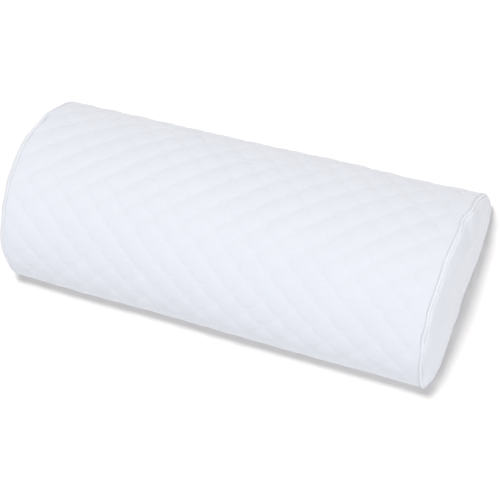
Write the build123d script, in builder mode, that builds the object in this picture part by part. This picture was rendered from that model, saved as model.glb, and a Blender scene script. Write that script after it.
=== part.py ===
from build123d import *
import os

# Half-moon bolster pillow: a foam core in a thin liner, inside a zipped cover with a quilted top.
# X runs along the bolster, +Y is the rear side with the zip, and Z = 0 is the flat underside.

length = 480
width = 200
height = 88
corner_radius = 16  # lower long corners, and the height of the widest line

# Cover layers, each given by its depth under the outer skin at the sides.
face_depth = 0.8
filling_depth = 4.4
cover_depth = 5.0
base_cloth = 1.4  # thickness of the plain cloth underneath
front_seam_height = corner_radius * 0.3
rear_seam_height = corner_radius

# Ends: the piping closes the seam between the long panels and the end panel.
piping_size = 3.2
piping_round = 1.5
end_panel_thickness = 1.6
end_panel_recess = 1.2

# Liner and foam, with room beside the core for the back of the zip.
liner_side = 7.4
liner_crown = 5.2
liner_base = 1.6
liner_cloth = 0.6
core_gap = 0.5  # between the end panels and the liner

# Zip: it runs along the rear at the widest line.
zip_window_length = 430
zip_window_height = 10
tape_length = 444
tape_height = 11
tape_cloth = 0.5
coil_height = 2.4
coil_thickness = 1.3
chain_gap = 1.0
top_stop_x = 206
bottom_stop_x = -197
stop_length = 2.5
stop_thickness = 1.8
stop_round = 0.4

# Slider, measured outwards from the widest line of the zip.
slider_length = 9
slider_height = 7.6
slider_plate = 0.9
slider_outer = 2.5  # depth of the top plate's outer face under the cover's skin
slider_inner = 6.2  # depth of the bottom plate's outer face
slider_back_height = 6.8
slider_back_plate = 0.8
plate_round = 1.8
flange_thickness = 0.6
flange_length = 5
flange_reach = 2.1
post_length = 5
post_thickness = 0.4
stop_clearance = 0.3
bridge_length = 5.2
bridge_width = 1.4
bridge_rise = 2.25
bridge_bar = 0.8
bridge_round = 0.7

# Pull tab, hinged under the slider's bridge.
pin_rise = 0.75
pull_thickness = 0.8
pin_radius = 0.36
pin_length = 2.8
eye_round = 0.38
pull_eye_width = 4.4
pull_window_length = 4.4
pull_window_width = 2.4
pull_length = 15
pull_width = 5.6

# Blank care label inside the rear of the cover.
label_width = 30
label_drop = 25
label_x = -170
label_side = 5.5
label_crown = 5.3
label_cloth = 0.4
label_margin = 1  # above the upper tape

half_length = length / 2
half_width = width / 2
panel_length = length - 2 * piping_size
base_ratio = base_cloth / cover_depth  # the cover thins evenly from its sides to its underside
zip_height = rear_seam_height
slider_x = top_stop_x - stop_clearance - slider_length / 2
plate_y = half_width - slider_outer
pin_y = plate_y + pin_rise
liner_end_x = half_length - end_panel_recess - end_panel_thickness - core_gap


def half_moon(side, crown, base):
    """Half-moon face: a half ellipse over two rounded lower corners and a flat underside."""
    half = half_width - side
    corner = corner_radius - base
    corner_y = half - corner
    with BuildSketch() as outline:
        with BuildLine():
            EllipticalCenterArc((0, corner_radius), half, height - corner_radius - crown, arc_size=180)
            CenterArc((-corner_y, corner_radius), corner, 180, 90)
            Line((-corner_y, base), (corner_y, base))
            CenterArc((corner_y, corner_radius), corner, 270, 90)
        make_face()
    return outline.sketch


def cover_layer(outer_depth, inner_depth):
    """Closed band between two depths of the cover."""
    with BuildSketch() as band:
        add(half_moon(outer_depth, outer_depth, outer_depth * base_ratio))
        add(half_moon(inner_depth, inner_depth, inner_depth * base_ratio), mode=Mode.SUBTRACT)
    return band.sketch


def zip_layer(outer_depth, inner_depth, low, high):
    """Band beside the zip, bent to the cover's inner face and cut between two heights."""
    inside = base_cloth - cover_depth
    with BuildSketch() as band:
        add(half_moon(outer_depth, outer_depth, outer_depth + inside))
        add(half_moon(inner_depth, inner_depth, inner_depth + inside), mode=Mode.SUBTRACT)
        with Locations((half_width, (low + high) / 2)):
            Rectangle(width, high - low, mode=Mode.INTERSECT)
    return band.sketch


def below_seams():
    """Everything in the section under the front seam and the rear seam."""
    with BuildSketch() as region:
        with Locations((-half_width, 0)):
            Rectangle(width, 2 * front_seam_height)
        with Locations((half_width, 0)):
            Rectangle(width, 2 * rear_seam_height)
    return region.sketch


def finish(part, label):
    part.label = label
    export_step(part, f"parts/{label}.step")


os.makedirs("parts", exist_ok=True)

# Foam core
with BuildPart() as foam_core:
    with BuildSketch(Plane.YZ):
        add(half_moon(liner_side + liner_cloth, liner_crown + liner_cloth, liner_base + liner_cloth))
    extrude(amount=liner_end_x - liner_cloth, both=True)
finish(foam_core.part, "foam_core")

# Liner: one sleeve and two ends
with BuildPart() as liner_wrap:
    with BuildSketch(Plane.YZ):
        add(half_moon(liner_side, liner_crown, liner_base))
        add(
            half_moon(liner_side + liner_cloth, liner_crown + liner_cloth, liner_base + liner_cloth),
            mode=Mode.SUBTRACT,
        )
    extrude(amount=liner_end_x - liner_cloth, both=True)
finish(liner_wrap.part, "liner_wrap")

with BuildPart() as liner_end_right:
    with BuildSketch(Plane.YZ.offset(liner_end_x - liner_cloth)):
        add(half_moon(liner_side, liner_crown, liner_base))
    extrude(amount=liner_cloth)
finish(liner_end_right.part, "liner_end_right")

with BuildPart() as liner_end_left:
    mirror(liner_end_right.part, about=Plane.YZ)
finish(liner_end_left.part, "liner_end_left")

# Quilted panel: three cloth layers over the crown, from the front seam to the rear seam
quilt_layers = {
    "quilt_face": (0, face_depth),
    "quilt_filling": (face_depth, filling_depth),
    "quilt_backing": (filling_depth, cover_depth),
}
for name, (outer_depth, inner_depth) in quilt_layers.items():
    with BuildPart() as quilt_layer:
        with BuildSketch(Plane.YZ):
            add(cover_layer(outer_depth, inner_depth))
            add(below_seams(), mode=Mode.SUBTRACT)
        extrude(amount=panel_length / 2, both=True)
        with Locations((0, half_width, zip_height)):
            Box(zip_window_length, 4 * cover_depth, zip_window_height, mode=Mode.SUBTRACT)
    finish(quilt_layer.part, name)

# Plain panel underneath, turned up at the rear to meet the quilted panel
with BuildPart() as base_panel:
    with BuildSketch(Plane.YZ):
        add(cover_layer(0, cover_depth))
        add(below_seams(), mode=Mode.INTERSECT)
    extrude(amount=panel_length / 2, both=True)
    with Locations((0, half_width, zip_height)):
        Box(zip_window_length, 4 * cover_depth, zip_window_height, mode=Mode.SUBTRACT)
finish(base_panel.part, "base_panel")

# End panels, each set just inside its piping
with BuildPart() as end_panel_right:
    with BuildSketch(Plane.YZ.offset(half_length - end_panel_recess - end_panel_thickness)):
        add(half_moon(piping_size, piping_size, piping_size))
    extrude(amount=end_panel_thickness)
finish(end_panel_right.part, "end_panel_right")

with BuildPart() as end_panel_left:
    mirror(end_panel_right.part, about=Plane.YZ)
finish(end_panel_left.part, "end_panel_left")

# Piping round each end seam, with its outer corner rounded
with BuildPart() as end_piping_right:
    with BuildSketch(Plane.YZ.offset(panel_length / 2)):
        add(half_moon(0, 0, 0))
        add(half_moon(piping_size, piping_size, piping_size), mode=Mode.SUBTRACT)
    extrude(amount=piping_size)
    outer_rim = end_piping_right.faces().sort_by(Axis.X)[-1].outer_wire()
    fillet(outer_rim.edges(), radius=piping_round)
finish(end_piping_right.part, "end_piping_right")

with BuildPart() as end_piping_left:
    mirror(end_piping_right.part, about=Plane.YZ)
finish(end_piping_left.part, "end_piping_left")

# Zip tapes, behind the cover's inner face
with BuildPart() as zip_tape_upper:
    with BuildSketch(Plane.YZ):
        low = zip_height + chain_gap / 2
        add(zip_layer(cover_depth, cover_depth + tape_cloth, low, low + tape_height))
    extrude(amount=tape_length / 2, both=True)
finish(zip_tape_upper.part, "zip_tape_upper")

with BuildPart() as zip_tape_lower:
    with BuildSketch(Plane.YZ):
        high = zip_height - chain_gap / 2
        add(zip_layer(cover_depth, cover_depth + tape_cloth, high - tape_height, high))
    extrude(amount=tape_length / 2, both=True)
finish(zip_tape_lower.part, "zip_tape_lower")

# Zip coils, on the outside of the tapes and closed along their whole length
with BuildPart() as zip_coil_upper:
    with BuildSketch(Plane.YZ.offset(bottom_stop_x)):
        low = zip_height + chain_gap / 2
        add(zip_layer(cover_depth - coil_thickness, cover_depth, low, low + coil_height))
    extrude(amount=top_stop_x - bottom_stop_x)
finish(zip_coil_upper.part, "zip_coil_upper")

with BuildPart() as zip_coil_lower:
    with BuildSketch(Plane.YZ.offset(bottom_stop_x)):
        high = zip_height - chain_gap / 2
        add(zip_layer(cover_depth - coil_thickness, cover_depth, high - coil_height, high))
    extrude(amount=top_stop_x - bottom_stop_x)
finish(zip_coil_lower.part, "zip_coil_lower")

# Zip stops: a pair at the closed end, one across both rows at the open end
stop_y = half_width - cover_depth + stop_thickness / 2
with BuildPart() as zip_top_stops:
    stop_rise = (chain_gap + coil_height) / 2
    with Locations(
        (top_stop_x + stop_length / 2, stop_y, zip_height - stop_rise),
        (top_stop_x + stop_length / 2, stop_y, zip_height + stop_rise),
    ):
        Box(stop_length, stop_thickness, coil_height)
    fillet(zip_top_stops.edges().group_by(Axis.Y)[-1], radius=stop_round)
finish(zip_top_stops.part, "zip_top_stops")

with BuildPart() as zip_bottom_stop:
    with Locations((bottom_stop_x - stop_length / 2, stop_y, zip_height)):
        Box(stop_length, stop_thickness, chain_gap + 2 * coil_height)
    fillet(zip_bottom_stop.edges().group_by(Axis.Y)[-1], radius=stop_round)
finish(zip_bottom_stop.part, "zip_bottom_stop")

# Slider: two plates joined by a thin post in the gap of the chain, flanges, and a bridge
with BuildPart() as zip_slider:
    with BuildSketch(Plane.XZ.offset(-plate_y)):
        with Locations((slider_x, zip_height)):
            RectangleRounded(slider_length, slider_height, plate_round)
    extrude(amount=slider_plate)
    with BuildSketch(Plane.XZ.offset(slider_inner - half_width)):
        with Locations((slider_x, zip_height)):
            RectangleRounded(slider_length, slider_back_height, plate_round)
    extrude(amount=slider_back_plate)
    with Locations((slider_x, (plate_y + half_width - slider_inner) / 2, zip_height)):
        Box(post_length, slider_inner - slider_outer, post_thickness)
    with BuildSketch(Plane.XZ.offset(-plate_y)):
        with Locations(
            (slider_x, zip_height - (slider_height - flange_thickness) / 2),
            (slider_x, zip_height + (slider_height - flange_thickness) / 2),
        ):
            Rectangle(flange_length, flange_thickness)
    extrude(amount=flange_reach)
    with BuildSketch(Plane.XY.offset(zip_height - bridge_width / 2)):
        with Locations((slider_x, plate_y)):
            RectangleRounded(bridge_length, 2 * bridge_rise, bridge_round)
        with Locations((slider_x, plate_y)):
            Rectangle(bridge_length - 2 * bridge_bar, 2 * (bridge_rise - bridge_bar), mode=Mode.SUBTRACT)
        with Locations((slider_x, plate_y - bridge_rise)):
            Rectangle(bridge_length, 2 * bridge_rise, mode=Mode.SUBTRACT)
    extrude(amount=bridge_width)
finish(zip_slider.part, "zip_slider")

# Pull tab: a cross pin under the bridge, an eye round it and a tab that lies along the chain
with BuildPart() as zip_pull:
    eye_end = slider_x + pull_thickness / 2
    tab_end = slider_x - pull_length
    window_end = slider_x - pull_window_length
    with BuildSketch(Plane.XZ.offset(pull_thickness / 2 - pin_y)):
        with Locations(((eye_end + window_end - plate_round) / 2, zip_height)):
            Rectangle(eye_end - window_end + plate_round, pull_eye_width)
        with Locations(((window_end + tab_end) / 2, zip_height)):
            RectangleRounded(window_end - tab_end, pull_width, plate_round)
        with Locations(((eye_end + window_end) / 2, zip_height)):
            Rectangle(eye_end - window_end, pull_window_width, mode=Mode.SUBTRACT)
    extrude(amount=-pull_thickness)
    fillet(zip_pull.edges().filter_by(Axis.Z).group_by(Axis.X)[-1], radius=eye_round)
    with BuildSketch(Plane.XY.offset(zip_height - pin_length / 2)):
        with Locations((slider_x, pin_y)):
            Circle(pin_radius)
    extrude(amount=pin_length)
finish(zip_pull.part, "zip_pull")

# Care label, hanging inside the rear of the cover from the upper tape
with BuildPart() as care_label:
    with BuildSketch(Plane.YZ.offset(label_x - label_width / 2)):
        low = zip_height + chain_gap / 2 + tape_height + label_margin
        add(half_moon(label_side, label_crown, base_cloth))
        add(half_moon(label_side + label_cloth, label_crown + label_cloth, base_cloth), mode=Mode.SUBTRACT)
        with Locations((half_width, low + label_drop / 2)):
            Rectangle(width, label_drop, mode=Mode.INTERSECT)
    extrude(amount=label_width)
finish(care_label.part, "care_label")

# The slider travels from the top stops to the bottom stop, and its pull turns about the cross pin.
slide_travel = slider_x - slider_length / 2 - stop_clearance - bottom_stop_x
print("slide travel", slide_travel, "pull axis", slider_x, pin_y, zip_height)
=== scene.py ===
from math import cos, pi, radians, sin

import bmesh
import bpy
import numpy as np
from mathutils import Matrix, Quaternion, Vector


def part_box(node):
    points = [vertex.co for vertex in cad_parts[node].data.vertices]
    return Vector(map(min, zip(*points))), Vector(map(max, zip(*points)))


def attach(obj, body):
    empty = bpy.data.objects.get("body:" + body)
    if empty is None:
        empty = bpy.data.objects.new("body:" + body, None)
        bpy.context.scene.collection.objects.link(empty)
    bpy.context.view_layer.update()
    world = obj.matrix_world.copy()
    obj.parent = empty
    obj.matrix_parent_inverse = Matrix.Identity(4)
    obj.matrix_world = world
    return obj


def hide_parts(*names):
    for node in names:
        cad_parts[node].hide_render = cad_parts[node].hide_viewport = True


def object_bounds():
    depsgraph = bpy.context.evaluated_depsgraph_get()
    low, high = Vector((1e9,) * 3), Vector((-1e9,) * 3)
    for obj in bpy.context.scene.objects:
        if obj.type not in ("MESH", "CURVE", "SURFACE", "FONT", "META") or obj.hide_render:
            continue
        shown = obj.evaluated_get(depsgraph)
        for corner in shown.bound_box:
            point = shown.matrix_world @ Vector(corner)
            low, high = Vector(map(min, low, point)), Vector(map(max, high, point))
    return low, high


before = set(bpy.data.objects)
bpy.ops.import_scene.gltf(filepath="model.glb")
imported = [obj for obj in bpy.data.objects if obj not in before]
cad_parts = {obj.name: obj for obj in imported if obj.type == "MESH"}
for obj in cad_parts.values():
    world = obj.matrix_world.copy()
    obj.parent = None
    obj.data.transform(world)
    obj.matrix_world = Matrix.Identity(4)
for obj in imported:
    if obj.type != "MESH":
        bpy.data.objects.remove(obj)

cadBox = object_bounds()
print("frame loaded:", len(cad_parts), "nodes")

# Everything is in metres: X along the bolster, +Y to the rear, Z up from the flat underside.
mm = 0.001
halfWidth = cadBox[1].y
crownHeight = cadBox[1].z
cornerRadius = 16 * mm  # of the lower long corners
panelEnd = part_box("quilt_face")[1].x  # where the long panels stop and the piping begins
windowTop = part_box("zip_tape_upper")[0].z + 4.5 * mm
zipLine = (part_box("zip_tape_upper")[0].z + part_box("zip_tape_lower")[1].z) / 2
windowEnd = 215 * mm  # half the length of the zip's window
frontSeamHeight = 4.8 * mm


# meshes
def buildMesh(name, points, faces, material, smooth=True):
    # puts whole arrays into a mesh, turns its faces outwards and links it
    mesh = bpy.data.meshes.new(name)
    faces = [np.asarray(group) for group in faces]
    corners = np.concatenate([group.ravel() for group in faces])
    sizes = np.concatenate([np.full(len(group), group.shape[1]) for group in faces])
    mesh.vertices.add(len(points))
    mesh.vertices.foreach_set("co", np.asarray(points, np.float32).ravel())
    mesh.loops.add(len(corners))
    mesh.loops.foreach_set("vertex_index", corners.astype(np.int32))
    mesh.polygons.add(len(sizes))
    mesh.polygons.foreach_set("loop_start", np.concatenate([[0], np.cumsum(sizes)[:-1]]).astype(np.int32))
    mesh.polygons.foreach_set("use_smooth", np.full(len(sizes), smooth))
    mesh.update(calc_edges=True)
    shell = bmesh.new()
    shell.from_mesh(mesh)
    bmesh.ops.recalc_face_normals(shell, faces=shell.faces)
    shell.to_mesh(mesh)
    shell.free()
    mesh.materials.append(material)
    made = bpy.data.objects.new(name, mesh)
    bpy.context.scene.collection.objects.link(made)
    return made


def setAttribute(made, name, values):
    # one number, or one vector, for each vertex, for the materials to read
    values = np.asarray(values, np.float32)
    kind, key = ("FLOAT", "value") if values.ndim == 1 else ("FLOAT_VECTOR", "vector")
    made.data.attributes.new(name, kind, "POINT").data.foreach_set(key, values.ravel())


def quads(rows, columns, wrapRows=False, wrapColumns=False, start=0):
    # corner numbers of the quads of a grid, going round where it wraps
    steps = np.arange(rows if wrapRows else rows - 1), np.arange(columns if wrapColumns else columns - 1)
    row, column = np.meshgrid(*steps, indexing="ij")
    nextRow, nextColumn = (row + 1) % rows, (column + 1) % columns
    low, high = row * columns, nextRow * columns
    corners = (low + column, high + column, high + nextColumn, low + nextColumn)
    return np.stack(corners, -1).reshape(-1, 4) + start


def closedSlab(outer, inner):
    # two grids of the same size, joined round their rim
    rows, columns = outer.shape[:2]
    number = np.arange(rows * columns).reshape(rows, columns)
    rim = np.concatenate([number[0, :-1], number[:-1, -1], number[-1, :0:-1], number[:0:-1, 0]])
    nextRim = np.roll(rim, -1)
    half = rows * columns
    edge = np.stack([rim, nextRim, nextRim + half, rim + half], -1)
    points = np.concatenate([outer.reshape(-1, 3), inner.reshape(-1, 3)])
    return points, [quads(rows, columns), quads(rows, columns, start=half)[:, ::-1], edge]


def carried(path, across, up, profile, closed):
    # each path point plus the profile's two sizes along that point's own two directions
    points = path[:, None] + across[:, None] * profile[None, :, :1] + up[:, None] * profile[None, :, 1:]
    rows, columns = points.shape[:2]
    faces = [quads(rows, columns, wrapRows=closed, wrapColumns=True)]
    if not closed:
        faces.append(np.arange(columns)[None, ::-1])
        faces.append(np.arange(columns)[None] + (rows - 1) * columns)
    return points.reshape(-1, 3), faces


def waves(first, second, length, count, seed, stretch=1.0):
    # smooth unevenness from -1 to 1: a mean of sine waves of about one length, in random directions
    draw = np.random.default_rng(seed)
    total = np.zeros(np.broadcast(first, second).shape)
    for turn, phase, size in draw.uniform((0, 0, 0.7), (2 * pi, 2 * pi, 1.4), (count, 3)):
        step = 2 * pi / (length * size)
        total += np.sin(step * (cos(turn) * first + sin(turn) * second * stretch) + phase)
    return total / count * 1.6


def easeIn(value, low, high):
    # 0 below low and 1 above high, with a smooth step between them
    t = np.clip((value - low) / (high - low), 0, 1)
    return t * t * (3 - 2 * t)


def roundedDrop(gap, reach):
    # 1 at an edge and 0 from reach on, along a quarter circle
    return 1 - np.sqrt(1 - (1 - np.clip(gap / reach, 0, 1)) ** 2)


# the half-moon section
def outlinePoints():
    # half an ellipse over two quarter circles and a flat side, from under the middle round the front
    corner = np.linspace(0, pi / 2, 200)
    arch = np.linspace(0, pi, 2400)
    side = halfWidth - cornerRadius
    y = np.concatenate([[0], -side - cornerRadius * np.sin(corner), -halfWidth * np.cos(arch)[1:-1]])
    z = np.concatenate([[0], cornerRadius * (1 - np.cos(corner))])
    z = np.concatenate([z, cornerRadius + (crownHeight - cornerRadius) * np.sin(arch)[1:-1]])
    y = np.concatenate([y, side + cornerRadius * np.cos(corner), [0]])
    z = np.concatenate([z, cornerRadius * (1 - np.sin(corner)), [0]])
    return y, z


outlineY, outlineZ = outlinePoints()
outlineReach = np.concatenate([[0], np.cumsum(np.hypot(np.diff(outlineY), np.diff(outlineZ)))])
crownReach = outlineReach[-1] / 2
outlineAlong = outlineReach - crownReach  # distance from the crown, positive to the rear


def onOutline(along):
    # position and outward direction at a distance from the crown, measured round the section
    step = 0.3 * mm
    wholeRound = 2 * crownReach
    y, z = (np.interp(along, outlineAlong, values, period=wholeRound) for values in (outlineY, outlineZ))
    dy, dz = (
        np.interp(along + step, outlineAlong, values, period=wholeRound)
        - np.interp(along - step, outlineAlong, values, period=wholeRound)
        for values in (outlineY, outlineZ)
    )
    size = np.hypot(dy, dz)
    return y, z, -dz / size, dy / size


def alongAt(height, side):
    # distance from the crown at which the outline has this height, on the front (-1) or the rear (+1)
    chosen = (outlineY * side > halfWidth / 2)
    order = np.argsort(outlineZ[chosen])
    return float(np.interp(height, outlineZ[chosen][order], outlineAlong[chosen][order]))


frontSeam = alongAt(frontSeamHeight, -1)
rearSeam = alongAt(zipLine, 1)
windowUpper = alongAt(windowTop, 1)
windowLower = alongAt(2 * zipLine - windowTop, 1)


def toSeam(x, edge):
    # an edge of the zip's window, brought to the rear seam just past the window's two ends
    return edge + (rearSeam - edge) * easeIn(np.abs(x), windowEnd - 1 * mm, windowEnd + 2 * mm)


def skin(x, along, lift):
    # the outline carried along X, moved outwards by lift
    y, z, outY, outZ = onOutline(along)
    return np.stack([x + 0 * y, y + outY * lift, z + outZ * lift], -1)


def ringWaves(along, orders, seed):
    # smooth unevenness round the whole section, closed on itself: a mean of sines of whole numbers of waves
    phases = np.random.default_rng(seed).uniform(0, 2 * pi, len(orders))
    parts = [np.sin(order * pi * along / crownReach + phase) for order, phase in zip(orders, phases)]
    return sum(parts) / len(orders) ** 0.5


endSeam = {
    1: {"base": 0.0 * mm, "swell": 3.8 * mm, "centre": 25 * mm, "width": 88 * mm, "jog": 1.2 * mm},
    -1: {"base": -3.0 * mm, "swell": 5.0 * mm, "centre": 15 * mm, "width": 60 * mm, "jog": 0.5 * mm},
    "jogPlace": 60 * mm, "jogWidth": 9 * mm, "wander": 0.45 * mm, "orders": (7, 9, 12, 15, 19),
    "blendReach": 60 * mm, "cornerPlace": 138 * mm, "cornerWidth": 22 * mm, "cornerDraw": 2.4 * mm,
    "tuck": 0.6 * mm,
}


def seamShift(along, side):
    # how far an end seam lies outside the panel's end: a swell over the crown, one jog and a little wander
    e = endSeam
    along = (along + crownReach) % (2 * crownReach) - crownReach
    swell = e[side]["swell"] * np.exp(-(((along - e[side]["centre"]) / e[side]["width"]) ** 2))
    step = (along - e["jogPlace"]) / e["jogWidth"]
    jog = e[side]["jog"] * step * np.exp(0.5 - step**2 / 2)
    corner = e["cornerDraw"] * np.exp(-(((np.abs(along) - e["cornerPlace"]) / e["cornerWidth"]) ** 2))
    wander = e["wander"] * ringWaves(along, e["orders"], seed=51 + side)
    return e[side]["base"] + swell + jog - corner + wander


def shifted(x, along):
    # stretches a long panel's ends out to the end seams and a little way under the piping
    pull = easeIn(np.abs(x), panelEnd - endSeam["blendReach"], panelEnd)
    tuck = endSeam["tuck"]
    return x + pull * np.where(x > 0, tuck + seamShift(along, 1), -tuck - seamShift(along, -1))


# shader helper
class Wire:
    # one socket, on which Python's operators add Math nodes
    def __init__(self, finish, socket):
        self.finish, self.socket = finish, socket

    def math(self, operation, *others):
        return self.finish.node("ShaderNodeMath", {"operation": operation}, dict(enumerate((self, *others))))

    def __add__(self, other):
        return self.math("ADD", other)

    def __sub__(self, other):
        return self.math("SUBTRACT", other)

    def __mul__(self, other):
        return self.math("MULTIPLY", other)

    def __rsub__(self, other):
        return self.finish.node("ShaderNodeMath", {"operation": "SUBTRACT"}, {0: other, 1: self})

    __radd__ = __add__
    __rmul__ = __mul__


class Finish:
    # one procedural material
    def __init__(self, name):
        self.material = bpy.data.materials.new(name)
        self.material.use_nodes = True
        self.tree = self.material.node_tree
        self.tree.nodes.clear()

    def node(self, kind, settings=None, inputs=None, output=0):
        # adds a node: its settings first, then its sockets' values or links
        made = self.tree.nodes.new(kind)
        for key, value in (settings or {}).items():
            setattr(made, key, value)
        for key, value in (inputs or {}).items():
            if isinstance(value, Wire):
                self.tree.links.new(value.socket, made.inputs[key])
            else:
                made.inputs[key].default_value = value
        return Wire(self, made.outputs[output]) if made.outputs else None

    def attribute(self, name, output="Vector"):
        return self.node("ShaderNodeAttribute", {"attribute_name": name}, output=output)

    def objectPlace(self):
        return self.node("ShaderNodeTexCoord", output=3)

    def axes(self, place):
        # the three numbers of a vector
        parts = self.node("ShaderNodeSeparateXYZ", {}, {0: place})
        return [Wire(self, output) for output in parts.socket.node.outputs]

    def noise(self, place, scale, detail=2.0):
        return self.node("ShaderNodeTexNoise", {}, {"Vector": place, "Scale": scale, "Detail": detail})

    def blend(self, mask, first, second):
        # first colour where the mask is 0 and second where it is 1
        return self.node("ShaderNodeMix", {"data_type": "RGBA"}, {0: mask, 6: first, 7: second}, output=2)

    def close(self, colour, roughness, height=None, distance=0.1 * mm, strength=1.0, **constants):
        # the surface shader, with its bump from a height
        inputs = {"Base Color": colour, "Roughness": roughness, **constants}
        if height is not None:
            inputs["Normal"] = self.node(
                "ShaderNodeBump", {}, {"Strength": strength, "Distance": distance, "Height": height}
            )
        surface = self.node("ShaderNodeBsdfPrincipled", {}, inputs)
        self.node("ShaderNodeOutputMaterial", {}, {"Surface": surface})
        return self.material


# materials
def knitHeight(finish, place, course, wale):
    # rows of stitches: ribs across one way, broken by shorter ribs the other way
    across, along = finish.axes(place)[:2]
    rib = (across * (2 * pi / wale)).math("SINE")
    loop = ((along * (2 * pi / course)) + rib * 0.8).math("SINE")
    return (rib * 0.5 + loop * 0.5) * 0.5 + 0.5


def fabric(name, settings, place="cloth"):
    # a plain knit: stitch relief, a little pilling and a faint unevenness of tone
    finish = Finish(name)
    spot = finish.attribute(place) if place else finish.objectPlace()
    stitch = knitHeight(finish, spot, settings["course"], settings["wale"])
    pills = finish.noise(spot, settings["pillScale"])
    tone = finish.noise(spot, settings["toneScale"])
    colour = finish.blend(tone, settings["shade"], settings["colour"])
    colour = finish.blend(stitch * settings["stitchTone"], colour, settings["shade"])
    return finish.close(
        colour, settings["roughness"] + tone * 0.06, stitch * 0.7 + pills * 0.6, settings["relief"],
        **{"Sheen Weight": 0.25, "Sheen Roughness": 0.6, "Specular IOR Level": 0.2},
    )


quiltKnit = {
    "colour": (0.765, 0.778, 0.82, 1), "shade": (0.735, 0.75, 0.795, 1),
    "recessColour": (0.765, 0.777, 0.818, 1),
    "course": 0.9 * mm, "wale": 0.8 * mm, "pillScale": 900, "toneScale": 18, "stitchTone": 0.25,
    "roughness": 0.82, "relief": 0.10 * mm,
}
plainKnit = {
    "colour": (0.765, 0.777, 0.81, 1), "shade": (0.73, 0.745, 0.78, 1), "course": 0.7 * mm, "wale": 0.6 * mm,
    "pillScale": 1100, "toneScale": 22, "stitchTone": 0.25, "roughness": 0.85, "relief": 0.08 * mm,
}


def quiltFabric():
    # the bubble quilting: soft jersey on the bubbles, an open ribbed weave down in the recesses, with painted
    # shade between that weave's ribs
    finish = Finish("bubbleQuilt")
    spot = finish.attribute("cloth")
    dent = finish.attribute("dent", output="Fac")
    stitch = knitHeight(finish, spot, quiltKnit["course"], quiltKnit["wale"])
    openWeave = knitHeight(finish, spot, 1.5 * quiltKnit["course"], 1.5 * quiltKnit["wale"])
    recess = (dent * 1.6 - 0.6).math("MAXIMUM", 0.0)
    tone = finish.noise(spot, quiltKnit["toneScale"])
    pills = finish.noise(spot, quiltKnit["pillScale"])
    colour = finish.blend(tone, quiltKnit["shade"], quiltKnit["colour"])
    colour = finish.blend(recess * 0.7, colour, quiltKnit["recessColour"])
    # painted shade: in the recesses the colour goes darker between the open weave's ribs, where shade would
    # fall
    colour = finish.blend((1 - openWeave) * recess * 0.35, colour, quiltKnit["shade"])
    height = stitch * (1 - recess) * 0.6 + openWeave * recess * 1.6 + pills * 0.5
    return finish.close(
        colour, quiltKnit["roughness"] + recess * 0.08, height, quiltKnit["relief"],
        **{"Sheen Weight": 0.3, "Sheen Roughness": 0.55, "Specular IOR Level": 0.2},
    )


def threadFinish(name, colour, twist):
    # twisted thread or yarn: fine slanting ridges in the piece's own length and girth
    finish = Finish(name)
    length, girth = finish.axes(finish.attribute("cloth"))[:2]
    ridge = (length * (2 * pi / twist) + girth * 2).math("SINE") * 0.5 + 0.5
    tone = finish.blend(ridge * 0.3, colour, tuple(0.9 * part for part in colour[:3]) + (1,))
    return finish.close(tone, 0.55 + ridge * 0.1, ridge, 0.08 * mm, **{"Sheen Weight": 0.2})


def tapeFinish():
    # herringbone twill: slanting ribs that change direction every few millimetres
    finish = Finish("zipTwill")
    band, ribPitch = 2.4 * mm, 0.7 * mm
    along, up = finish.axes(finish.objectPlace())[::2]
    slant = (up * (1 / band)).math("PINGPONG", 1.0) * band
    rib = ((along + slant) * (2 * pi / ribPitch)).math("SINE") * 0.5 + 0.5
    tone = finish.blend(rib * 0.35, (0.88, 0.89, 0.9, 1), (0.8, 0.81, 0.83, 1))
    return finish.close(tone, 0.75 + rib * 0.1, rib, 0.12 * mm, **{"Sheen Weight": 0.15})


def lacquerFinish():
    # white lacquered zinc, a little orange-peeled and worn at random spots
    finish = Finish("whiteLacquer")
    spot = finish.objectPlace()
    peel = finish.noise(spot, 900, 1.0)
    wear = (finish.noise(spot, 260, 4.0) - 0.62).math("MAXIMUM", 0.0) * 4
    tone = finish.blend(wear, (0.86, 0.86, 0.87, 1), (0.7, 0.7, 0.71, 1))
    return finish.close(tone, 0.22 + wear * 0.4, peel, 0.03 * mm, **{"Coat Roughness": 0.1})


def nylonFinish():
    # the coil's milky monofilament
    finish = Finish("milkyNylon")
    spot = finish.objectPlace()
    grain = finish.noise(spot, 1500, 1.0)
    tone = finish.blend(grain, (0.87, 0.88, 0.89, 1), (0.92, 0.93, 0.94, 1))
    return finish.close(tone, 0.35 + grain * 0.1, grain, 0.02 * mm)


def foamFinish():
    # cream slow-recovery foam: fine open cells with some larger pores, painted darker inside as painted shade
    finish = Finish("creamFoam")
    spot = finish.objectPlace()
    cells = finish.node("ShaderNodeTexVoronoi", {}, {"Vector": spot, "Scale": 900.0}, output=0)
    pores = finish.node("ShaderNodeTexVoronoi", {}, {"Vector": spot, "Scale": 160.0}, output=0)
    pit = (0.35 - pores).math("MAXIMUM", 0.0) * 2
    tone = finish.blend(finish.noise(spot, 12), (0.82, 0.76, 0.6, 1), (0.87, 0.82, 0.68, 1))
    # painted shade: the larger pores are darker inside, where shade would fall
    tone = finish.blend(pit, tone, (0.66, 0.6, 0.46, 1))
    return finish.close(tone, 0.85 + pit * 0.1, cells * 0.4 - pit, 0.3 * mm)


def labelFinish():
    # blank satin ribbon: fine bright warp lines
    finish = Finish("satinRibbon")
    warpPitch = 0.35 * mm
    along = finish.axes(finish.objectPlace())[0]
    line = (along * (2 * pi / warpPitch)).math("SINE") * 0.5 + 0.5
    tone = finish.blend(line * 0.3, (0.86, 0.86, 0.85, 1), (0.78, 0.78, 0.77, 1))
    return finish.close(tone, 0.4 + line * 0.1, line, 0.03 * mm)


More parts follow.
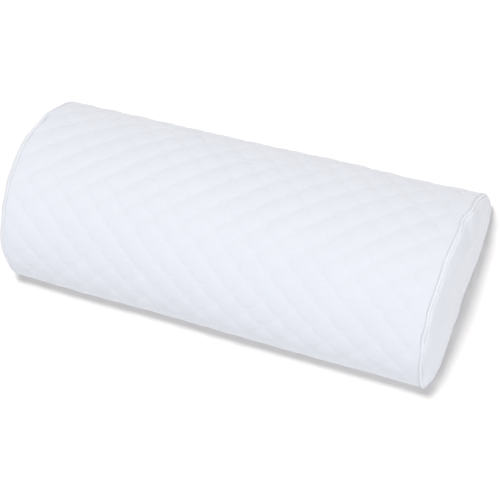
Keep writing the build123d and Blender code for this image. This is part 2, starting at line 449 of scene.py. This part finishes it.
linerKnit = {**plainKnit, "colour": (0.78, 0.78, 0.78, 1), "shade": (0.7, 0.7, 0.7, 1), "course": 1.1 * mm}
backingKnit = {**linerKnit, "course": 0.8 * mm, "wale": 0.9 * mm}
loftFibre = {**linerKnit, "course": 2.5 * mm, "wale": 3.1 * mm, "pillScale": 500, "relief": 0.4 * mm}

quiltMaterial = quiltFabric()
plainMaterial = fabric("plainKnit", plainKnit)
weltMaterial = threadFinish("weltKnit", (0.81, 0.822, 0.855, 1), 1.7 * mm)
threadMaterial = threadFinish("sewingThread", (0.81, 0.82, 0.85, 1), 0.6 * mm)
nylonMaterial = nylonFinish()
loftMaterial = fabric("loftFibre", loftFibre, place=None)

nodeFinishes = {
    "foam_core": foamFinish(),
    "liner_wrap": fabric("linerTricot", linerKnit, place=None),
    "quilt_backing": fabric("backingTricot", backingKnit, place=None),
    "zip_tape_upper": tapeFinish(),
    "zip_slider": lacquerFinish(),
    "care_label": labelFinish(),
}
sameFinish = {
    "liner_end_left": "liner_wrap", "liner_end_right": "liner_wrap", "zip_tape_lower": "zip_tape_upper",
    "zip_pull": "zip_slider", "zip_top_stops": "zip_slider", "zip_bottom_stop": "zip_slider",
}
for node in (*nodeFinishes, *sameFinish):
    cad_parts[node].data.materials.clear()
    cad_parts[node].data.materials.append(nodeFinishes[sameFinish.get(node, node)])
print("materials ready")

# quilted panel
quilt = {
    "pitchX": 34.4 * mm, "pitchAlong": 29.2 * mm, "startX": 208.6 * mm, "startAlong": 88.2 * mm,
    "slant": 0.032, "height": 1.42 * mm, "proud": 0.5 * mm, "squareness": 2.2, "size": 1.03,
    "crowning": 0.5, "edgePower": 8.5, "recess": 0.1, "blend": 0.05, "uneven": 0.03, "drift": 0.9 * mm,
    "cell": 1.7 * mm, "cloth": 0.8 * mm, "edgeDip": 0.45 * mm, "edgeReach": 3.0 * mm,
    "seamDip": 1.6 * mm, "seamReach": 9 * mm, "hemDip": 1.2 * mm, "hemReach": 3 * mm, "hemDepth": 4.4 * mm,
    "endCalm": 0.45, "flatReach": 22 * mm, "frontCalm": 0.15, "frontFlat": 30 * mm, "frontEase": 0.7,
    "easeFrom": -70 * mm, "easeTo": 50 * mm, "calmDrop": 0.25, "swell": 0.7 * mm, "swellLength": 130 * mm,
    "loftDepth": 4.4 * mm, "loftGap": 0.05 * mm, "loftThin": 0.3 * mm, "loftTuck": 1.0 * mm,
    "tuckReach": 8 * mm,
}
hemRoll = 0.5 * mm


def bubbleHeight(x, along):
    # flat-topped domes in rounded rhombic cells about staggered centres, blended where they meet:
    # each is 1 less a high power of the distance, measured along the two slanting rows of the lattice
    q = quilt
    x = x + q["drift"] * waves(x, along, 120 * mm, 9, seed=4)
    along = along + q["drift"] * waves(x, along, 110 * mm, 9, seed=5)
    column = (x - q["startX"]) / q["pitchX"]
    row = (along - q["startAlong"] - q["slant"] * (x - q["startX"])) / q["pitchAlong"]
    table = np.random.default_rng(11).uniform(-1, 1, (64, 64))
    total = np.full(x.shape, np.exp(-q["recess"] / q["blend"]))
    for shift in (0.0, 0.5):
        for nearColumn in (0, 1):
            for nearRow in (0, 1):
                centreColumn = np.floor(column - shift) + nearColumn
                centreRow = np.floor(row - shift) + nearRow
                pick = ((2 * centreColumn + 20 * shift).astype(int) % 64, (2 * centreRow).astype(int) % 64)
                across, up = 2 * (column - shift - centreColumn), 2 * (row - shift - centreRow)
                power = q["squareness"]
                away = (np.abs(across + up) ** power + np.abs(across - up) ** power) ** (1 / power)
                away /= q["size"] * (1 + q["uneven"] * table[pick])
                dome = 1 - q["crowning"] * away**2 - (1 - q["crowning"]) * away ** q["edgePower"]
                total += np.exp(np.maximum(dome, -5) / q["blend"])
    return q["blend"] * np.log(total)


def quiltRelief(x, along):
    # bubbles over the whole panel, flatter by the end seams and drawn down into every seam
    q = quilt
    bubble = bubbleHeight(x, along)
    toEnd, toFront = panelEnd - np.abs(x), along - frontSeam
    calm = q["endCalm"] + (1 - q["endCalm"]) * easeIn(toEnd, 0, q["flatReach"])
    calm *= q["frontCalm"] + (1 - q["frontCalm"]) * easeIn(toFront, 0, q["frontFlat"])
    calm *= q["frontEase"] + (1 - q["frontEase"]) * easeIn(along, q["easeFrom"], q["easeTo"])
    relief = q["proud"] - q["height"] * (1 - bubble) * calm - q["height"] * q["calmDrop"] * (1 - calm)
    relief -= q["edgeDip"] * roundedDrop(toEnd, q["edgeReach"])
    relief -= q["seamDip"] * roundedDrop(toFront, q["seamReach"])
    relief += q["swell"] * waves(x, along, q["swellLength"], 8, seed=2)
    return relief, np.clip(1 - bubble, 0, 1) * calm


def hemmed(along, lift, cloth, depth):
    # more columns past the last one, which roll over the edge and go in to the zip's tape
    turn = np.linspace(0, 1, 7)[1:]
    roll = hemRoll * np.sin(pi * turn)
    outerAlong = np.concatenate([along, along[:, -1:] + roll], 1)
    innerAlong = np.concatenate([along, along[:, -1:] + roll - cloth * np.minimum(3 * turn, 1)], 1)
    outerLift = np.concatenate([lift, lift[:, -1:] - depth * turn], 1)
    deepest = np.minimum(lift[:, -1:] - depth * turn, lift[:, -1:] - cloth)
    innerLift = np.concatenate([lift - cloth, deepest], 1)
    return outerAlong, outerLift, innerAlong, innerLift


def makeQuilt():
    # a grid over the section's outline, lifted by the relief, with its rear edge rolled in at the zip
    q = quilt
    x = np.linspace(-panelEnd, panelEnd, int(2 * panelEnd / q["cell"]))
    part = np.linspace(0, 1, int((windowUpper - frontSeam) / q["cell"]))
    x, part = np.meshgrid(x, part, indexing="ij")
    along = frontSeam + (toSeam(x, windowUpper) - frontSeam) * part
    relief, dent = quiltRelief(x, along)
    x = shifted(x, along)
    relief -= q["hemDip"] * roundedDrop(toSeam(x, windowUpper) - along, q["hemReach"])
    outerAlong, outerLift, innerAlong, innerLift = hemmed(along, relief, q["cloth"], q["hemDepth"])
    wide = np.concatenate([x, np.repeat(x[:, -1:], outerAlong.shape[1] - x.shape[1], 1)], 1)
    outer, inner = skin(wide, outerAlong, outerLift), skin(wide, innerAlong, innerLift)
    face = buildMesh("quiltFaceCloth", *closedSlab(outer, inner), quiltMaterial)
    dent = np.concatenate([dent, np.repeat(0 * dent[:, -1:], wide.shape[1] - x.shape[1], 1)], 1)
    flat = np.stack([wide, outerAlong + np.minimum(0, outerLift), 0 * wide], -1).reshape(-1, 3)
    setAttribute(face, "cloth", np.tile(flat, (2, 1)))
    setAttribute(face, "dent", np.tile(dent.ravel(), 2))
    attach(face, "bolster")
    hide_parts("quilt_face")

    # the loft behind it, squeezed thin under every groove
    rows = slice(1, -1, 2)
    under = relief - q["cloth"] - q["loftGap"]
    loftX, loftAlong, loftLift = (values[rows, ::2] for values in (x, along, under))
    tucked = q["loftTuck"] * easeIn(loftAlong, windowUpper - q["tuckReach"], windowUpper)
    outer = skin(loftX, loftAlong - tucked, loftLift)
    inner = skin(loftX, loftAlong, np.minimum(-q["loftDepth"], loftLift - q["loftThin"]))
    loft = buildMesh("quiltLoft", *closedSlab(outer, inner), loftMaterial)
    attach(loft, "bolster")
    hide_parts("quilt_filling")
    return face


quiltFace = makeQuilt()
print("quilted panel:", len(quiltFace.data.polygons), "faces")

# plain panel underneath
base = {
    "cell": 2.4 * mm, "cloth": 1.2 * mm, "hemDepth": 4.2 * mm, "seamDip": 0.9 * mm, "seamReach": 5 * mm,
    "uneven": 0.25 * mm, "unevenLength": 60 * mm, "gather": 0.3 * mm, "gatherLength": 12 * mm,
    "gatherReach": 4,
}


def makeBasePanel():
    # the outline from the front seam under the bolster and up the rear to the zip, drawn in at its seams
    b = base
    start = frontSeam + 2 * crownReach
    x = np.linspace(-panelEnd, panelEnd, int(2 * panelEnd / b["cell"]))
    part = np.linspace(0, 1, int((start - windowLower) / b["cell"]))
    x, part = np.meshgrid(x, part, indexing="ij")
    rear = toSeam(x, windowLower)
    along = start + (rear - start) * part
    toEnd = panelEnd - np.abs(x)
    relief = 0 * x
    for gap in (toEnd, start - along, along - rear):
        relief -= b["seamDip"] * roundedDrop(gap, b["seamReach"])
    relief -= b["uneven"] * (1 + waves(x, along, b["unevenLength"], 9, seed=21))
    gather = np.clip(1 - np.abs(toEnd / b["seamReach"]) / b["gatherReach"], 0, 1)
    relief -= b["gather"] * gather * (1 + waves(0 * x, along, b["gatherLength"], 6, seed=22))
    x = shifted(x, along)
    outerAlong, outerLift, innerAlong, innerLift = hemmed(-along, relief, b["cloth"], b["hemDepth"])
    wide = np.concatenate([x, np.repeat(x[:, -1:], outerAlong.shape[1] - x.shape[1], 1)], 1)
    outer, inner = skin(wide, -outerAlong, outerLift), skin(wide, -innerAlong, innerLift)
    panel = buildMesh("basePanelCloth", *closedSlab(outer, inner), plainMaterial)
    flat = np.stack([wide, outerAlong, 0 * wide], -1).reshape(-1, 3)
    setAttribute(panel, "cloth", np.tile(flat, (2, 1)))
    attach(panel, "bolster")
    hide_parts("base_panel")
    return panel


makeBasePanel()
print("base panel ready")

# end panels
endPanel = {
    "rings": 40, "ringPower": 0.8, "around": 300, "rim": 0.4 * mm, "setBack": 2.1 * mm, "depth": 7 * mm,
    "sideSteep": 8, "centreHeight": 36 * mm, "crown": {-1: 9 * mm, 1: 5 * mm}, "roundness": 7.0,
    "voxel": 2.4 * mm, "heldRim": 2.0 * mm, "heldBack": 2 * mm, "slack": -0.004, "pressure": 5.0,
    "frames": 20, "settling": 4, "settleShare": 0.6, "most": {-1: 3.5 * mm, 1: 3 * mm},
    "crease": 0.8 * mm, "creaseFrom": 3 * mm, "creaseTo": 8 * mm, "foldLength": 24 * mm,
    "foldReach": 30 * mm, "gather": 0.15 * mm, "gatherReach": 6 * mm, "gatherOrders": (37, 46, 55, 61, 74),
}


def inflated(pad, held, most):
    # remeshes a pad and blows it up with cloth simulation: the held part stays, and no point moves too far
    e = endPanel
    remesh = pad.modifiers.new("remesh", "REMESH")
    remesh.mode, remesh.voxel_size = "VOXEL", e["voxel"]
    applyModifiers(pad)
    before = places(pad)
    group = pad.vertex_groups.new(name="held")
    group.add(np.flatnonzero(held(before)).tolist(), 1.0, "REPLACE")
    cloth = pad.modifiers.new("cloth", "CLOTH")
    settings = cloth.settings
    settings.quality, settings.mass, settings.air_damping = 6, 0.25, 2
    settings.tension_stiffness, settings.compression_stiffness = 25, 25
    settings.shear_stiffness, settings.bending_stiffness = 8, 2.5
    settings.vertex_group_mass, settings.pin_stiffness = "held", 2
    settings.shrink_min = e["slack"]
    settings.use_pressure, settings.uniform_pressure_force = True, e["pressure"]
    settings.effector_weights.gravity = 0
    cloth.collision_settings.use_collision = False
    for step in range(1, e["frames"] + 1):
        bpy.context.scene.frame_set(step)
    applyModifiers(pad)
    bpy.context.scene.frame_set(1)
    moved = settled(pad, places(pad) - before)
    length = np.linalg.norm(moved, axis=1, keepdims=True)
    moved *= np.minimum(1, most / np.maximum(length, 1e-9))
    pad.data.vertices.foreach_set("co", (before + moved).astype(np.float32).ravel())
    pad.vertex_groups.clear()
    print("simulated", pad.name, "largest move", round(float(length.max()) / mm, 1), "mm")


def settled(piece, moved):
    # evens out sharp folds: each vertex's move is brought towards the mean of its neighbours' moves
    pairs = np.empty(2 * len(piece.data.edges), np.int32)
    piece.data.edges.foreach_get("vertices", pairs)
    first, second = pairs.reshape(-1, 2).T
    count = np.bincount(pairs, minlength=len(moved))[:, None]
    share = endPanel["settleShare"]
    for turn in range(endPanel["settling"]):
        total = np.zeros_like(moved)
        np.add.at(total, first, moved[second])
        np.add.at(total, second, moved[first])
        moved = (1 - share) * moved + share * total / np.maximum(count, 1)
    return moved


def places(piece):
    # the piece's vertices as an array
    flat = np.empty(3 * len(piece.data.vertices), np.float32)
    piece.data.vertices.foreach_get("co", flat)
    return flat.reshape(-1, 3).astype(float)


def applyModifiers(piece):
    # keeps the mesh that the modifiers give, and clears them
    shape = piece.evaluated_get(bpy.context.evaluated_depsgraph_get())
    made = bpy.data.meshes.new_from_object(shape)
    old = piece.data
    piece.modifiers.clear()
    piece.data = made
    bpy.data.meshes.remove(old)


def edgeDistance(points):
    # how far each point is from the nearest of the outline's samples, and that sample's number
    every = 6
    sample = np.stack([outlineY[::every], outlineZ[::every]], -1)
    away, nearest = [], []
    for chunk in np.array_split(points[:, 1:], max(1, len(points) // 4000)):
        squared = (chunk**2).sum(1)[:, None] + (sample**2).sum(1)[None] - 2 * chunk @ sample.T
        number = squared.argmin(1)
        nearest.append(number * every)
        away.append(np.linalg.norm(chunk - sample[number], axis=1))
    return np.concatenate(away), np.concatenate(nearest)


def makeEndPanel(side, name, node):
    # rings shrinking from the seam to a middle point, domed by the root of 1 less the ring's size to a power,
    # closed by the same rings on a flat back, then blown up and creased along the seam
    e = endPanel
    ring = np.linspace(1, 0, e["rings"] + 1)[:-1] ** e["ringPower"]
    along = np.linspace(0, 2 * crownReach, e["around"] + 1)[:-1]
    ring, along = np.meshgrid(ring, along, indexing="ij")
    y, z, outY, outZ = onOutline(along)
    y, z = y - outY * e["rim"], z - outZ * e["rim"]
    y, z = y * ring, e["centreHeight"] + (z - e["centreHeight"]) * ring
    puff = np.sqrt(1 - ring ** e["roundness"])
    bulge = e["crown"][side] * puff
    seamX = panelEnd + e["setBack"] + seamShift(along, side) * ring**2
    outer = np.stack([side * (seamX + bulge), y, z], -1).reshape(-1, 3)
    setIn = e["depth"] * np.minimum(1, e["sideSteep"] * (1 - ring))
    inner = np.stack([side * (seamX - setIn), y, z], -1).reshape(-1, 3)
    rows, columns = ring.shape
    half = rows * columns + 1
    middle = side * (panelEnd + e["setBack"] + e["crown"][side])
    back = side * (panelEnd + e["setBack"] - e["depth"])
    points = np.concatenate([outer, [[middle, 0, e["centreHeight"]]], inner, [[back, 0, e["centreHeight"]]]])
    number = np.arange(columns)
    following = (number + 1) % columns
    last = (rows - 1) * columns
    grid = quads(rows, columns, wrapColumns=True)
    faces = [grid, (grid + half)[:, ::-1]]
    for start in (0, half):
        tip = np.full(columns, start + half - 1)
        faces.append(np.stack([number + start + last, following + start + last, tip], -1))
    faces.append(np.stack([number, following, following + half, number + half], -1))
    pad = buildMesh(name, points, faces, plainMaterial)

    def held(at):
        # the strip along the seam, and all of the back
        atRim = edgeDistance(at)[0] < e["rim"] + e["heldRim"]
        return atRim | (side * at[:, 0] < panelEnd - e["heldBack"])

    inflated(pad, held, e["most"][side])
    smooth = pad.modifiers.new("smooth", "SUBSURF")
    smooth.levels = smooth.render_levels = 1
    applyModifiers(pad)
    at = places(pad)
    away, nearest = edgeDistance(at)
    place = outlineAlong[np.minimum(nearest, len(outlineAlong) - 1)]
    outside = easeIn(side * at[:, 0], panelEnd - 1 * mm, panelEnd + 1 * mm)
    fold = waves(at[:, 1], at[:, 2], e["foldLength"], 12, seed=31 + side) * np.exp(-away / e["foldReach"])
    fold *= e["crease"] * easeIn(away, e["creaseFrom"], e["creaseTo"])
    gather = ringWaves(place, e["gatherOrders"], seed=33 + side) * np.exp(-away / e["gatherReach"])
    at[:, 0] += side * outside * (fold + e["gather"] * gather)
    pad.data.vertices.foreach_set("co", at.astype(np.float32).ravel())
    pad.data.polygons.foreach_set("use_smooth", np.ones(len(pad.data.polygons), bool))
    setAttribute(pad, "cloth", at[:, [1, 2, 0]])
    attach(pad, "bolster")
    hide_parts(node)
    return pad


makeEndPanel(1, "endPanelRightCloth", "end_panel_right")
makeEndPanel(-1, "endPanelLeftCloth", "end_panel_left")
print("end panels ready")

# end piping and stitching
piping = {
    "step": 0.9 * mm, "sides": 10, "thick": 1.45 * mm, "wide": 1.3 * mm, "inset": 0.95 * mm,
    "underInset": 1.6 * mm, "wander": 0.2 * mm, "orders": (5, 8, 11, 16),
}
stitch = {
    "pitch": 3.0 * mm, "length": 2.3 * mm, "radius": 0.28 * mm, "rings": 5, "sides": 6, "raise": 0.05 * mm,
    "endGap": 1.3 * mm, "zipReach": 213 * mm, "upperGap": -3.5 * mm, "lowerGap": 3.0 * mm,
    "lowerLift": -0.35 * mm,
}


def underside(along):
    # 1 where the outline is the flat underside and 0 on the sides and crown
    z = np.interp(along, outlineAlong, outlineZ, period=2 * crownReach)
    return 1 - easeIn(z, 0.5 * mm, 8 * mm)


def makePiping(side, name, node):
    # an oval carried round the end seam, wandering a little
    p = piping
    count = int(2 * crownReach / p["step"])
    along = crownReach + np.arange(count) * 2 * crownReach / count  # its ends meet under the middle
    y, z, outY, outZ = onOutline(along)
    lift = -(p["inset"] + (p["underInset"] - p["inset"]) * underside(along))
    lift += p["wander"] * ringWaves(along, p["orders"], seed=41 + side) * (1 - underside(along))
    x = side * (panelEnd + p["wide"] + seamShift(along, side))
    path = np.stack([x, y + outY * lift, z + outZ * lift], -1)
    turn = np.linspace(0, 2 * pi, p["sides"] + 1)[:-1]
    profile = np.stack([p["thick"] * np.cos(turn), p["wide"] * np.sin(turn)], -1)
    across = np.stack([0 * outY, outY, outZ], -1)
    up = np.repeat([[1.0, 0, 0]], count, 0)
    tube = buildMesh(name, *carried(path, across, up, profile, closed=True), weltMaterial)
    length, girth = np.meshgrid(along, turn, indexing="ij")
    setAttribute(tube, "cloth", np.stack([length, girth, 0 * girth], -1).reshape(-1, 3))
    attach(tube, "bolster")
    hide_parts(node)
    return tube


def makeStitches(name, place, heading, outward):
    # a small spindle for each stitch: rings round its line, widest in the middle
    s = stitch
    step = np.linspace(-1, 1, s["rings"])
    width = s["radius"] * np.sqrt(1.08 - step**2)
    turn = np.linspace(0, 2 * pi, s["sides"] + 1)[:-1]
    sideways = np.cross(heading, outward)
    ringPoint = place[:, None] + heading[:, None] * (step * s["length"] / 2)[None, :, None]
    wheel = outward[:, None] * np.cos(turn)[None, :, None] + sideways[:, None] * np.sin(turn)[None, :, None]
    points = (ringPoint[:, :, None] + wheel[:, None] * width[None, :, None, None]).reshape(-1, 3)
    each = s["rings"] * s["sides"]
    starts = np.arange(len(place))[:, None, None] * each
    body = quads(s["rings"], s["sides"], wrapColumns=True)[None] + starts
    cap = np.arange(s["sides"])[None, None] + starts
    faces = [body.reshape(-1, 4), cap[:, 0, ::-1], cap[:, 0] + each - s["sides"]]
    made = buildMesh(name, points, faces, threadMaterial)
    length = np.repeat(np.tile(step * s["length"], len(place)), s["sides"])
    girth = np.tile(turn, len(place) * s["rings"])
    setAttribute(made, "cloth", np.stack([length, girth, 0 * girth], -1))
    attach(made, "bolster")
    return made


def makeEndStitching(side, name):
    # a row beside the piping, on the edge of the quilted panel, from the front seam over to the rear seam
    count = int((rearSeam - frontSeam) / stitch["pitch"])
    along = frontSeam + (np.arange(count) + 0.5) * (rearSeam - frontSeam) / count
    x = np.full(count, side * (panelEnd - stitch["endGap"]))
    relief = quiltRelief(x, along)[0]
    x = shifted(x, along)
    outY, outZ = onOutline(along)[2:]
    outward = np.stack([0 * outY, outY, outZ], -1)
    heading = np.stack([0 * outY, outZ, -outY], -1)
    return makeStitches(name, skin(x, along, relief + stitch["raise"]), heading, outward)


def makeZipStitching(name, edge, away):
    # a straight row along the zip's window
    x = np.arange(-stitch["zipReach"], stitch["zipReach"], stitch["pitch"])
    along = np.full(len(x), edge + away)
    relief = quiltRelief(x, along)[0] if away < 0 else np.full(len(x), stitch["lowerLift"])
    outY, outZ = onOutline(along)[2:]
    outward = np.stack([0 * outY, outY, outZ], -1)
    heading = np.repeat([[1.0, 0, 0]], len(x), 0)
    return makeStitches(name, skin(x, along, relief + stitch["raise"]), heading, outward)


makePiping(1, "endPipingRightTube", "end_piping_right")
makePiping(-1, "endPipingLeftTube", "end_piping_left")
makeEndStitching(1, "endStitchingRight")
makeEndStitching(-1, "endStitchingLeft")
makeZipStitching("zipStitchingUpper", windowUpper, stitch["upperGap"])
makeZipStitching("zipStitchingLower", windowLower, stitch["lowerGap"])
print("piping and stitching ready")

# zip coils
coil = {"pitch": 1.4 * mm, "perTurn": 8, "sides": 5, "wire": 0.27 * mm}


def makeCoil(side, name, node):
    # a flattened helix whose heads reach the middle of the chain
    c = coil
    low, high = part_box(node)
    turns = int((high.x - low.x) / c["pitch"])
    turn = np.arange(turns * c["perTurn"]) * 2 * pi / c["perTurn"] + (pi if side < 0 else 0)
    outerEdge = high.z if side > 0 else low.z
    halfHeight = abs(outerEdge - zipLine) / 2 - c["wire"]
    middleZ, middleY = (outerEdge + zipLine) / 2, (low.y + high.y) / 2 + 0.1 * mm
    halfThick = (high.y - low.y) / 2 - c["wire"]
    x = np.linspace(low.x + c["wire"], high.x - c["wire"], len(turn))
    path = np.stack([x, middleY + halfThick * np.sin(turn), middleZ + halfHeight * np.cos(turn)], -1)
    across = np.stack([0 * turn, np.sin(turn), np.cos(turn)], -1)
    up = np.repeat([[1.0, 0, 0]], len(turn), 0)
    ring = np.linspace(0, 2 * pi, c["sides"] + 1)[:-1]
    profile = c["wire"] * np.stack([np.cos(ring), np.sin(ring)], -1)
    made = buildMesh(name, *carried(path, across, up, profile, closed=False), nylonMaterial)
    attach(made, "bolster")
    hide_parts(node)
    return made


makeCoil(1, "zipCoilUpperWire", "zip_coil_upper")
makeCoil(-1, "zipCoilLowerWire", "zip_coil_lower")
print("zip ready")

# studio
studio = {
    "roomColour": (0.92, 0.95, 1.0, 1), "roomStrength": 0.43, "floorReach": 3.0,
    "floorColours": ((0.985, 0.955, 0.92, 1), (0.995, 0.965, 0.93, 1)),
    # azimuth, elevation, distance, size, power and colour of each lamp
    "softboxes": {
        "overheadSoftbox": (-172, 79, 3.0, 0.75, 58.5, (1.0, 0.99, 0.975)),
        "endSoftbox": (62, 12, 2.4, 1.2, 19, (0.90, 0.93, 1.0)),
        "frontSoftbox": (-40, 12, 2.4, 1.2, 10, (0.90, 0.93, 1.0)),
    },
}
camera = {
    "azimuth": 59.526, "elevation": 60.97, "roll": -41.745, "distance": 1.6414,
    "aim": (0.0288, -0.0188, 0.0437), "lens": 118.44,
}


def backwards(azimuth, elevation):
    # direction from the object to a camera or lamp: azimuth 0 is in front, 90 at the right end
    a, e = radians(azimuth), radians(elevation)
    return Vector((sin(a) * cos(e), -cos(a) * cos(e), sin(e)))


def makeCamera():
    # looks at its aim from a direction and a distance, turned about its own line of sight
    made = bpy.data.objects.new("camera", bpy.data.cameras.new("camera"))
    bpy.context.scene.collection.objects.link(made)
    back = backwards(camera["azimuth"], camera["elevation"])
    made.location = Vector(camera["aim"]) + back * camera["distance"]
    made.rotation_mode = "QUATERNION"
    turn = Quaternion((0, 0, 1), radians(camera["roll"]))
    made.rotation_quaternion = (-back).to_track_quat("-Z", "Y") @ turn
    made.data.lens = camera["lens"]
    made.data.sensor_width = 36
    bpy.context.scene.camera = made


def makeLamp(name, azimuth, elevation, distance, size, power, colour):
    # a square softbox aimed at the middle of the bolster
    data = bpy.data.lights.new(name, "AREA")
    data.size, data.energy, data.color = size, power, colour
    made = bpy.data.objects.new(name, data)
    bpy.context.scene.collection.objects.link(made)
    back = backwards(azimuth, elevation)
    made.location = back * distance
    made.rotation_mode = "QUATERNION"
    made.rotation_quaternion = (-back).to_track_quat("-Z", "Y")


def makeStudio():
    # an even pale room, the softboxes, and a plain floor under the bolster
    world = bpy.data.worlds.new("softRoom")
    world.use_nodes = True
    world.node_tree.nodes["Background"].inputs["Color"].default_value = studio["roomColour"]
    world.node_tree.nodes["Background"].inputs["Strength"].default_value = studio["roomStrength"]
    bpy.context.scene.world = world
    for name, settings in studio["softboxes"].items():
        makeLamp(name, *settings)
    reach = studio["floorReach"]
    corners = np.array([[-reach, -reach, 0], [reach, -reach, 0], [reach, reach, 0], [-reach, reach, 0]])
    finish = Finish("paleFloor")
    spot = finish.objectPlace()
    tone = finish.noise(spot, 30)
    colour = finish.blend(tone, *studio["floorColours"])
    material = finish.close(colour, 0.9 + tone * 0.05)
    floor = buildMesh("floor", corners, [np.array([[0, 1, 2, 3]])], material, smooth=False)
    bpy.context.scene.view_settings.view_transform = "Standard"


makeCamera()
makeStudio()
print("studio ready")
